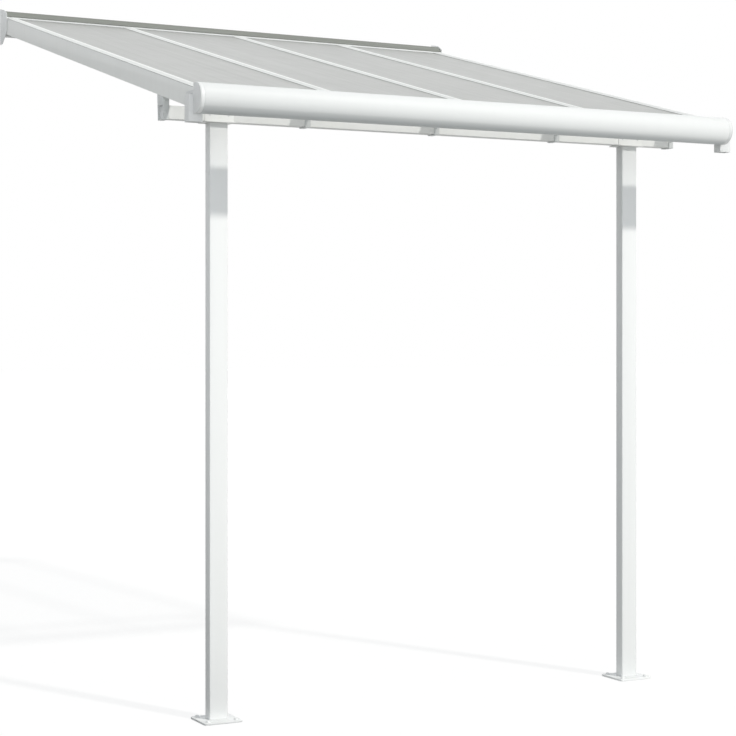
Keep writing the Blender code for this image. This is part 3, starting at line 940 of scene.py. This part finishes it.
@dataclass(frozen=True)
class Fastener:
    """A screw head or an anchor's cap, standing up from the surface at height 0.

    The crown gives a screw's top and its drive as shares of the radius and the height, from the rim
    to the middle. The washer's side and top are shares of its own height and radius.
    """

    head: Head
    radius: float
    height: float
    washer_radius: float = 0.0
    washer_height: float = 0.0
    washer_side: float = 0.6
    washer_top: float = 0.94
    sides: int = 18
    dome_steps: int = 6
    dome_side: float = 0.45
    crown: tuple[Point2, ...] = (
        (1.0, 0.35), (0.86, 0.75), (0.60, 1.0), (0.42, 1.0), (0.378, 0.45), (0.0, 0.45),
    )

    def shape(self) -> bmesh.types.BMesh:
        """Turns the head with its drive or its cap, and its washer where it has one.

        Returns:
            The closed shape.
        """
        base, wide = self.washer_height, self.washer_radius
        profile = [(0.0, 0.0)]
        if self.head is Head.PAN:
            profile.append((self.radius, 0.0))
        else:
            profile += [(wide, 0.0), (wide, self.washer_side * base)]
            profile += [(self.washer_top * wide, base), (self.radius, base)]
        crown = self._dome() if self.head is Head.CAPPED else self.crown
        profile += [(across * self.radius, base + up * self.height) for across, up in crown]
        return lathe(profile, self.sides)

    def _dome(self) -> list[Point2]:
        """The side and the round top of a snap-on cap.

        Returns:
            Shares of the radius and the height, from the rim to the middle.
        """
        points = [(1.0, self.dome_side)]
        for step in range(1, self.dome_steps):
            angle = math.radians(90.0 * step / self.dome_steps)
            points.append((math.cos(angle), self.dome_side + (1.0 - self.dome_side) * math.sin(angle)))
        return points + [(0.0, 1.0)]


SMALL_SCREW = Fastener(Head.PAN, 0.0042, 0.0024)


class Facing(Enum):
    """Which way a fastener's head points, as the turn that takes +Z there."""

    FRONT = (math.pi / 2, 0.0, 0.0)
    BACK = (-math.pi / 2, 0.0, 0.0)
    LEFT = (0.0, -math.pi / 2, 0.0)
    RIGHT = (0.0, math.pi / 2, 0.0)
    UP = (0.0, 0.0, 0.0)


@dataclass
class FastenerRow:
    """Fasteners of one kind in columns and rows."""

    name: str
    kind: Fastener
    facing: Facing
    start: Point3
    across: Point3 = ORIGIN
    columns: int = 1
    up: Point3 = ORIGIN
    rows: int = 1
    slot: Slot = Slot.FRAME
    bare: bool = False
    sharp_deg: float = 38.0

    def build(self, shop: Workshop) -> bpy.types.Object:
        """Sets the row in place and finishes it.

        Args:
            shop: The workshop that makes it.

        Returns:
            The row, as one piece.
        """
        material = shop.finishes.steel if self.bare else shop.finishes.by_slot[self.slot]
        values = {
            "Start": self.start, "Across": self.across, "Columns": self.columns,
            "Up": self.up, "Rows": self.rows, "Turn": self.facing.value, "Material": material,
        }
        piece = shop.grow(self.name, shop.trees.pattern, values, self.kind.shape())
        shop.smooth(piece, self.sharp_deg)
        return shop.fit(piece, self.slot, material=material)


# Sub-assemblies


@dataclass
class SubAssembly:
    """What every sub-assembly has: the workshop that makes its pieces."""

    shop: Workshop

    def build(self) -> None:
        """Builds and finishes the pieces. Each sub-assembly says how."""
        raise NotImplementedError


@dataclass
class RoofPlane:
    """The line of the glazing bars' tops, from which everything on the slope is placed."""

    slope_deg: float = 14.5

    def __post_init__(self) -> None:
        """Reads the roof's height at the wall from a glazing bar."""
        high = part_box("glazing_bar_1")[1]
        self.fall = math.tan(math.radians(self.slope_deg))
        self.plumb = 1.0 / math.cos(math.radians(self.slope_deg))
        self.wall_height = high.z - high.y * self.fall

    def height(self, y: float, down: float = 0.0) -> float:
        """Height of the line that lies some way below the bars' tops, square to the slope."""
        return self.wall_height + y * self.fall - down * self.plumb

    def growth(self) -> dict[str, float]:
        """The slope as inputs of a growth tree."""
        return {"Fall": self.fall, "Plumb": self.plumb, "Wall Height": self.wall_height}


@dataclass
class Glazing(SubAssembly):
    """Twin-wall sheets, the bars that hold them, and the gaskets, trims and end caps."""

    plane: RoofPlane = field(default_factory=RoofPlane)
    sheet_top: float = 0.008
    sheet_thickness: float = 0.006
    skin: float = 0.0005
    rib: float = 0.0004
    flute_pitch: float = 0.0062
    trim_thickness: float = 0.0006
    trim_lap: float = 0.014
    trim_inset: float = 0.0225
    trim_gap: float = 0.0001
    bar_width: float = 0.046
    bar_height: float = 0.008
    bar_flat: float = 0.012
    bar_edge: float = 0.0018
    bar_steps: int = 8
    bar_sharp_deg: float = 40.0
    cap_thickness: float = 0.004
    cap_gap: float = 0.0003
    gasket_radius: float = 0.0010
    gasket_inset: float = 0.001
    gasket_sharp_deg: float = 50.0

    def build(self) -> None:
        """Builds and finishes the glazing."""
        for bay in range(1, BAY_COUNT + 1):
            self._sheet(bay)
            self._trim(bay)
        for line in range(1, RAFTER_COUNT + 1):
            self._bar(line)
        self._gaskets()

    def _sheet(self, bay: int) -> None:
        """Puts one fluted sheet in place of its plain slab.

        Args:
            bay: The bay's number, from 1.
        """
        node = "roof_panel_%d" % bay
        low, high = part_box(node)
        width = high.x - low.x
        values = {
            "Middle": (low.x + high.x) / 2, "Width": width, "Front": low.y, "Back": high.y,
            "Top": -self.sheet_top, "Thickness": self.sheet_thickness, "Skin": self.skin,
            "Rib": self.rib, "Flutes": round(width / self.flute_pitch),
            "Material": self.shop.finishes.by_slot[Slot.SHEET], **self.plane.growth(),
        }
        piece = self.shop.grow("twin_wall_sheet_%d" % bay, self.shop.trees.sheet, values)
        self.shop.fit(piece, Slot.SHEET, (node,))

    def _trim(self, bay: int) -> None:
        """Folds the trim that closes the flutes at a sheet's lower end.

        Args:
            bay: The bay's number, from 1.
        """
        low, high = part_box("roof_panel_%d" % bay)
        left, right = low.x + self.trim_inset, high.x - self.trim_inset
        t = self.trim_thickness / self.plane.plumb
        front, back = low.y - self.trim_gap, low.y + self.trim_lap
        top = self.sheet_top - self.trim_gap
        bottom = self.sheet_top + self.sheet_thickness + self.trim_gap
        section = [
            (back, top), (back, top - t), (front - t, top - t),
            (front - t, bottom + t), (back, bottom + t), (back, bottom), (front, bottom), (front, top),
        ]
        outline = [(left, y, self.plane.height(y, down)) for y, down in section]
        shape = prism(outline, (right - left, 0.0, 0.0))
        self.shop.fit(self.shop.shape_object("sheet_trim_%d" % bay, shape), Slot.BAR)

    def _bar_outline(self) -> list[Point2]:
        """Draws a glazing bar's section.

        Returns:
            Places across the bar and distances below its top, from side to side.
        """
        half, flat = self.bar_width / 2, self.bar_flat / 2
        rise = self.bar_height - self.bar_edge
        side = []
        for step in range(self.bar_steps + 1):
            share = step / self.bar_steps
            drop = rise * (1.0 - math.cos(math.pi * share)) / 2
            side.append((flat + (half - flat) * share, drop))
        side.append((half, self.bar_height))
        return side + [(-x, down) for x, down in reversed(side)]

    def _bar(self, line: int) -> None:
        """Builds a crowned glazing bar and the moulded cap on its lower end.

        Args:
            line: The bar's number, from 1.
        """
        node = "glazing_bar_%d" % line
        low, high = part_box(node)
        middle = (low.x + high.x) / 2
        cap_end = low.y + self.cap_thickness
        parts = (
            ("glazing_bar_crown_%d", Slot.BAR, cap_end + self.cap_gap, high.y, (node,)),
            ("bar_end_cap_%d", Slot.CAP, low.y, cap_end, ()),
        )
        for name, slot, front, back, nodes in parts:
            outline = [
                (middle + x, front, self.plane.height(front, down))
                for x, down in self._bar_outline()
            ]
            run = (0.0, back - front, (back - front) * self.plane.fall)
            piece = self.shop.shape_object(name % line, prism(outline, run))
            self.shop.smooth(piece, self.bar_sharp_deg)
            self.shop.fit(piece, slot, nodes)

    def _gaskets(self) -> None:
        """Lays the thin gasket along both sides of every glazing bar."""
        low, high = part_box("glazing_bar_1")
        offset = self.bar_width / 2 + 0.5 * self.gasket_radius
        values = {
            "First": (low.x + high.x) / 2 - offset, "Pair Gap": 2 * offset, "Pitch": BAY_PITCH,
            "Pairs": RAFTER_COUNT, "Front": low.y + self.gasket_inset,
            "Back": high.y - self.gasket_inset, "Level": self.gasket_radius - self.sheet_top,
            "Radius": self.gasket_radius, "Material": self.shop.finishes.gasket,
            **self.plane.growth(),
        }
        piece = self.shop.grow("bar_gaskets", self.shop.trees.bead, values)
        self.shop.smooth(piece, self.gasket_sharp_deg)
        self.shop.fit(piece, Slot.SEAL, material=self.shop.finishes.gasket)


@dataclass
class WallRail(SubAssembly):
    """The hooded rail on the wall, its weather strip, end caps, shoes and screws."""

    web: float = 0.0022
    seal_edge: float = 0.0009
    shoe_edge: float = 0.0008
    wall_screw: Fastener = Fastener(Head.WASHERED, 0.0055, 0.0036, 0.011, 0.0015)
    screw_height: float = 0.034
    screw_inset: float = 0.1375
    screw_gap: float = 0.30
    cap_screw: Fastener = Fastener(Head.PAN, 0.0032, 0.0018)
    cap_screw_reach: float = 0.030
    cap_screw_depth: float = 0.024
    cap_screw_drop: float = 0.075

    def build(self) -> None:
        """Builds and finishes the rail."""
        shop = self.shop
        shop.soften("wall_rail", Slot.FRAME)
        shop.soften("wall_seal", Slot.SEAL, self.seal_edge)
        for _, word in SIDES:
            shop.soften("wall_rail_cap_" + word, Slot.FRAME)
        for line in range(1, RAFTER_COUNT + 1):
            shop.soften("rafter_shoe_%d" % line, Slot.BRACKET, self.shoe_edge)
        low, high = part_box("wall_rail")
        FastenerRow(
            "wall_screws", self.wall_screw, Facing.FRONT,
            (self.screw_inset - 2 * BAY_PITCH, -self.web, low.z + self.screw_height),
            across=(BAY_PITCH, 0.0, 0.0), columns=BAY_COUNT,
            up=(self.screw_gap, 0.0, 0.0), rows=2, bare=True,
        ).build(shop)
        for side, word in SIDES:
            FastenerRow(
                "rail_cap_screws_" + word, self.cap_screw, Facing.RIGHT if side > 0 else Facing.LEFT,
                (
                    end_x("wall_rail_cap_" + word, side),
                    -self.cap_screw_reach,
                    high.z - self.cap_screw_depth,
                ),
                up=(0.0, 0.0, -self.cap_screw_drop), rows=2,
            ).build(shop)


@dataclass
class Rafters(SubAssembly):
    """The five sloping rafters."""

    names: tuple[str, ...] = (
        "side_rafter_left", "rafter_1", "rafter_2", "rafter_3", "side_rafter_right",
    )

    def build(self) -> None:
        """Finishes the rafters."""
        for name in self.names:
            # Painted light: the rafters take the paler copy of the frame's coat.
            self.shop.soften(name, Slot.FRAME, material=self.shop.finishes.profile)


@dataclass
class Gutter(SubAssembly):
    """The round-nosed gutter with its end caps, rain outlets and screws."""

    wall: float = 0.0020
    cap_edge: float = 0.0012
    small_edge: float = 0.0008
    nose_radius: float = 0.0555
    nose_steps: int = 32
    floor_fall: float = 0.111
    rim_width: float = 0.0130
    rim_thickness: float = 0.0025
    tail_thickness: float = 0.0020
    tail_rise: float = 0.0155
    gap: float = 0.0003
    cut_margin: float = 0.01
    screw: Fastener = Fastener(Head.PAN, 0.0045, 0.0026)
    screw_height: float = 0.048
    screw_gap: float = 0.018

    def __post_init__(self) -> None:
        """Reads the gutter's own box, and where its ends are cut for the outlets."""
        self.low, self.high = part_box("gutter")
        self.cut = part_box("gutter_outlet_left")[0].y

    def build(self) -> None:
        """Builds and finishes the gutter."""
        shop = self.shop
        shop.soften("gutter", Slot.GUTTER, cutters=[self._end_room(side) for side, _ in SIDES])
        for side, word in SIDES:
            shop.soften("gutter_cap_" + word, Slot.CAP, self.cap_edge)
            shop.soften("gutter_outlet_" + word, Slot.CAP, self.small_edge)
            self._rim(side, word)
        FastenerRow(
            "gutter_screws", self.screw, Facing.FRONT,
            (-BAY_PITCH, self.high.y - self.wall, self.low.z + self.screw_height),
            across=(BAY_PITCH, 0.0, 0.0), columns=BAY_COUNT - 1,
            up=(0.0, 0.0, self.screw_gap), rows=2, slot=Slot.GUTTER,
        ).build(shop)
        for side, word in SIDES:
            self._tail(side, word)

    def _end_room(self, side: int) -> bmesh.types.BMesh:
        """Blocks out the room that a cap's rim takes at one end of the nose.

        Args:
            side: -1 for the left end, 1 for the right.

        Returns:
            The closed block.
        """
        margin = self.cut_margin
        end = end_x("gutter", side) + side * margin
        front, back = self.low.y - margin, self.cut - self.gap / 2
        bottom, top = self.low.z - margin, self.high.z + margin
        outline = [(end, front, bottom), (end, back, bottom), (end, back, top), (end, front, top)]
        return prism(outline, (-side * (self.rim_width + margin), 0.0, 0.0))

    def _nose_path(self, inset: float) -> list[Point2]:
        """Draws the nose from its floor round the front to its top.

        Args:
            inset: How far inside the nose's outer face the path lies.

        Returns:
            Y and Z of each point.
        """
        back = self.cut - self.gap
        middle = (self.low.y + self.nose_radius, self.low.z + self.nose_radius)
        rise = (back - middle[0]) * self.floor_fall
        reach = self.nose_radius - inset
        path = [(back, self.low.z + rise + inset)]
        for step in range(self.nose_steps + 1):
            angle = math.radians(-90.0 - 180.0 * step / self.nose_steps)
            path.append((middle[0] + reach * math.cos(angle), middle[1] + reach * math.sin(angle)))
        return path + [(back, self.low.z + 2 * self.nose_radius - inset)]

    def _rim(self, side: int, word: str) -> None:
        """Builds the rim of an end cap, which carries the nose's shape to its end.

        Args:
            side: -1 for the left end, 1 for the right.
            word: The side's name.
        """
        end = end_x("gutter", side) + side * self.gap / 2
        section = self._nose_path(0.0) + self._nose_path(self.rim_thickness)[::-1]
        outline = [(end, y, z) for y, z in section]
        run = (-side * (self.rim_width - self.gap / 2), 0.0, 0.0)
        piece = self.shop.shape_object("gutter_cap_rim_" + word, prism(outline, run))
        self.shop.ease(piece, self.small_edge)
        self.shop.fit(piece, Slot.CAP)

    def _tail(self, side: int, word: str) -> None:
        """Builds the flat tail of an end cap, which closes the gutter behind and over its outlet.

        Args:
            side: -1 for the left end, 1 for the right.
            word: The side's name.
        """
        outlet_low, outlet_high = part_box("gutter_outlet_" + word)
        front, back = outlet_low.y, self.high.y
        behind, over = outlet_high.y + self.gap, outlet_high.z + self.gap
        top = over + self.tail_rise
        nose = self.low.y + self.nose_radius
        floor = [(y, self.low.z + (y - nose) * self.floor_fall) for y in (behind, back)]
        section = [(front, over), (behind, over), *floor, (back, top), (front, top)]
        inner = end_x("gutter", side) + side * self.gap
        shape = prism([(inner, y, z) for y, z in section], (side * self.tail_thickness, 0.0, 0.0))
        self.shop.fit(self.shop.shape_object("gutter_cap_tail_" + word, shape), Slot.CAP)


@dataclass
class Beam(SubAssembly):
    """The cross beam with its end caps and the saddles under the rafters."""

    cap_edge: float = 0.0005
    saddle_edge: float = 0.0012
    screw_level: float = 0.025
    screw_gap: float = 0.042

    def build(self) -> None:
        """Builds and finishes the beam."""
        shop = self.shop
        # Painted light: the beam takes the paler copy of the frame's coat.
        shop.soften("post_beam", Slot.FRAME, material=shop.finishes.profile)
        for _, word in SIDES:
            shop.soften("beam_cap_" + word, Slot.FRAME, self.cap_edge)
        for line in range(1, RAFTER_COUNT + 1):
            shop.soften("beam_saddle_%d" % line, Slot.BRACKET, self.saddle_edge)
        low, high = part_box("beam_saddle_1")
        end = -(low.x + high.x) / 2
        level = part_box("post_beam")[0].z + self.screw_level
        faces = (("front", Facing.FRONT, low.y), ("back", Facing.BACK, high.y))
        for word, facing, y in faces:
            rows = (
                ("saddle_screws_", BAY_PITCH, BAY_PITCH, BAY_COUNT - 1),
                ("end_saddle_screws_", end, 2 * end, 2),
            )
            for name, reach, pitch, columns in rows:
                FastenerRow(
                    name + word, SMALL_SCREW, facing, (-reach, y, level),
                    across=(pitch, 0.0, 0.0), columns=columns,
                    up=(0.0, 0.0, self.screw_gap), rows=2, slot=Slot.BRACKET,
                ).build(shop)


@dataclass
class Posts(SubAssembly):
    """The two posts with their heads, foot plates, screws and anchors."""

    post_edge: float = 0.0004
    head_edge: float = 0.0008
    plate_edge: float = 0.0012
    anchor: Fastener = Fastener(Head.CAPPED, 0.0082, 0.0066, 0.0105, 0.0012, sides=28)
    hole_inset: float = 0.020
    plate: float = 0.008
    cheek: float = 0.0033
    cheek_height: float = 0.025
    cheek_half_gap: float = 0.038
    back_screw_inset: float = 0.035

    def build(self) -> None:
        """Builds and finishes the posts."""
        shop = self.shop
        for _, word in SIDES:
            shop.soften("post_" + word, Slot.FRAME, self.post_edge)
            # Painted light: the post heads take the paler copy of the frame's coat.
            shop.soften(
                "post_head_" + word, Slot.FRAME, self.head_edge, material=shop.finishes.profile
            )
            shop.soften("foot_plate_" + word, Slot.FRAME, self.plate_edge)
            self._anchors(word)
            self._screws(word)

    def _anchors(self, word: str) -> None:
        """Puts a capped anchor in each hole of a foot plate.

        Args:
            word: The side's name.
        """
        low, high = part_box("foot_plate_" + word)
        inset = self.hole_inset
        FastenerRow(
            "anchor_caps_" + word, self.anchor, Facing.UP,
            (low.x + inset, low.y + inset, low.z + self.plate),
            across=(high.x - low.x - 2 * inset, 0.0, 0.0), columns=2,
            up=(0.0, high.y - low.y - 2 * inset, 0.0), rows=2, slot=Slot.CAP,
        ).build(self.shop)

    def _screws(self, word: str) -> None:
        """Puts screws through a head's cheeks and through the back of the post.

        Args:
            word: The side's name.
        """
        low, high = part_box("post_head_" + word)
        beam_low, beam_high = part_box("post_beam")
        post_low, post_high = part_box("post_" + word)
        middle = (low.x + high.x) / 2
        level = beam_low.z + self.cheek_height
        cheeks = (
            ("head_screws_front_", Facing.FRONT, beam_low.y - self.cheek),
            ("head_screws_back_", Facing.BACK, beam_high.y + self.cheek),
        )
        for name, facing, y in cheeks:
            FastenerRow(
                name + word, SMALL_SCREW, facing, (middle - self.cheek_half_gap, y, level),
                across=(2 * self.cheek_half_gap, 0.0, 0.0), columns=2,
            ).build(self.shop)
        drop = self.back_screw_inset
        FastenerRow(
            "post_screws_" + word, SMALL_SCREW, Facing.BACK, (middle, post_high.y, post_low.z + drop),
            up=(0.0, 0.0, post_high.z - post_low.z - 2 * drop), rows=2,
        ).build(self.shop)


# Studio


@dataclass
class Studio:
    """Floor, light and camera."""

    eye_height: float = 1.466
    camera_place: Point2 = (-3.648, -8.525)
    camera_turn_deg: float = -27.52
    focal_px: float = 1832.0
    horizon_px: float = 333.9
    image_px: int = 736
    towards_key: Point3 = (0.45, -1.075, 1.0)
    key_strength: float = 1.8
    key_angle_deg: float = 3.0
    key_colour: Colour = (1.0, 0.98, 0.935)
    towards_fill: Point3 = (-0.20, -1.0, -0.15)
    fill_strength: float = 1.15
    fill_angle_deg: float = 70.0
    fill_colour: Colour = (0.955, 0.985, 1.02)
    towards_back: Point3 = (0.3, 1.0, 0.25)
    back_strength: float = 0.40
    sky: Colour = (0.51, 0.53, 0.54)
    floor_size: float = 60.0
    floor_near: Colour = (0.03, 0.03, 0.03)
    floor_far: Colour = (0.64, 0.64, 0.63)
    near_centre: Point3 = (-1.6, -0.15, 0.0)
    near_scale: Point3 = (0.42, 1.0, 0.0)
    near_radius: float = 1.95
    far_radius: float = 2.25
    floor_clearance: float = 0.0004
    floor_tone: Colour = (0.20, 0.20, 0.20)
    floor_glow: Colour = (0.82, 0.82, 0.82)
    floor_roughness: float = 0.9

    def build(self) -> None:
        """Sets up the studio."""
        self.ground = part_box("foot_plate_left")[0].z
        self._floor()
        self._world()
        self._sun("key", self.towards_key, self.key_strength, self.key_angle_deg, self.key_colour)
        wide, cool = self.fill_angle_deg, self.fill_colour
        self._sun("fill", self.towards_fill, self.fill_strength, wide, cool)
        self._sun("back", self.towards_back, self.back_strength, wide, cool)
        self._camera()
        bpy.context.scene.view_settings.view_transform = "Standard"

    def _white_ray(self, w: NodeWriter) -> Socket:
        """Tells the rays that show the background from those that light the cover.

        Args:
            w: The writer of the tree that asks.

        Returns:
            1 for a ray that is seen, mirrored or goes through glass, and 0 for others.
        """
        path = w.add("ShaderNodeLightPath").outputs
        seen = w.math("MAXIMUM", path["Is Camera Ray"], path["Is Glossy Ray"])
        return w.math("MAXIMUM", seen, path["Is Transmission Ray"])

    def _floor(self) -> None:
        """Lays a plain white floor that keeps a faint shadow."""
        shape = bmesh.new()
        bmesh.ops.create_grid(shape, x_segments=1, y_segments=1, size=self.floor_size)
        for vert in shape.verts:
            vert.co.z = self.ground - self.floor_clearance
        mesh = bpy.data.meshes.new("floor")
        shape.to_mesh(mesh)
        shape.free()
        floor = bpy.data.objects.new("floor", mesh)
        bpy.context.scene.collection.objects.link(floor)
        mesh.materials.append(self._floor_material())

    def _floor_material(self) -> bpy.types.Material:
        """Makes the floor white where it is seen; its light is weaker round the posts than far off.

        Returns:
            The material.
        """
        material = bpy.data.materials.new("floor_white")
        material.use_nodes = True
        w = NodeWriter(material.node_tree)
        shader = material.node_tree.nodes["Principled BSDF"].inputs
        place = w.add("ShaderNodeTexCoord").outputs["Object"]
        inputs = {0: place, 1: self.near_centre}
        offset = w.add("ShaderNodeVectorMath", inputs, operation="SUBTRACT").outputs[0]
        inputs = {0: w.stretched(offset, self.near_scale)}
        apart = w.add("ShaderNodeVectorMath", inputs, operation="LENGTH").outputs["Value"]
        share = w.spread(apart, self.near_radius, self.far_radius, 0.0, 1.0)
        white = self._white_ray(w)
        # Painted shade: for light that bounces, the floor is near black round the posts and pale far
        # off, which shades the cover's lower faces.
        lit = w.blend(share, self.floor_near, self.floor_far)
        w.feed(shader["Base Color"], w.blend(white, lit, self.floor_tone))
        w.feed(shader["Emission Color"], w.blend(white, ORIGIN, self.floor_glow))
        shader["Emission Strength"].default_value = 1.0
        shader["Roughness"].default_value = self.floor_roughness
        shader["Specular IOR Level"].default_value = 0.0
        return material

    def _world(self) -> None:
        """Makes soft light from all round, and a white background."""
        world = bpy.data.worlds.new("studio")
        bpy.context.scene.world = world
        world.use_nodes = True
        w = NodeWriter(world.node_tree)
        background = world.node_tree.nodes["Background"].inputs
        w.feed(background["Color"], w.blend(self._white_ray(w), self.sky, (1.0, 1.0, 1.0)))
        background["Strength"].default_value = 1.0

    def _sun(
        self, name: str, towards: Point3, strength: float, angle_deg: float, colour: Colour
    ) -> None:
        """Sets up one light from far away.

        Args:
            name: The light's name.
            towards: The way from the cover to the light.
            strength: Its strength.
            angle_deg: How wide it is, and so how soft.
            colour: Its colour.
        """
        lamp = bpy.data.lights.new(name, "SUN")
        lamp.energy = strength
        lamp.angle = math.radians(angle_deg)
        lamp.color = colour
        item = bpy.data.objects.new(name, lamp)
        item.rotation_euler = Vector(towards).to_track_quat("Z", "Y").to_euler()
        bpy.context.scene.collection.objects.link(item)

    def _camera(self) -> None:
        """Sets up the photograph's view."""
        lens = bpy.data.cameras.new("camera")
        lens.sensor_width = 36.0
        lens.lens = lens.sensor_width * self.focal_px / self.image_px
        lens.shift_y = (self.horizon_px - self.image_px / 2) / self.image_px
        item = bpy.data.objects.new("camera", lens)
        item.location = (*self.camera_place, self.ground + self.eye_height)
        item.rotation_euler = (math.pi / 2, 0.0, math.radians(self.camera_turn_deg))
        bpy.context.scene.collection.objects.link(item)
        bpy.context.scene.camera = item


def main() -> None:
    """Builds the studio and the cover."""
    Studio().build()
    shop = Workshop(Finishes(), GrowthTrees())
    for kind in (WallRail, Rafters, Glazing, Gutter, Beam, Posts):
        kind(shop).build()
        log.info("%s done: %d pieces so far", kind.__name__, len(shop.made))


if __name__ == "__main__":
    main()
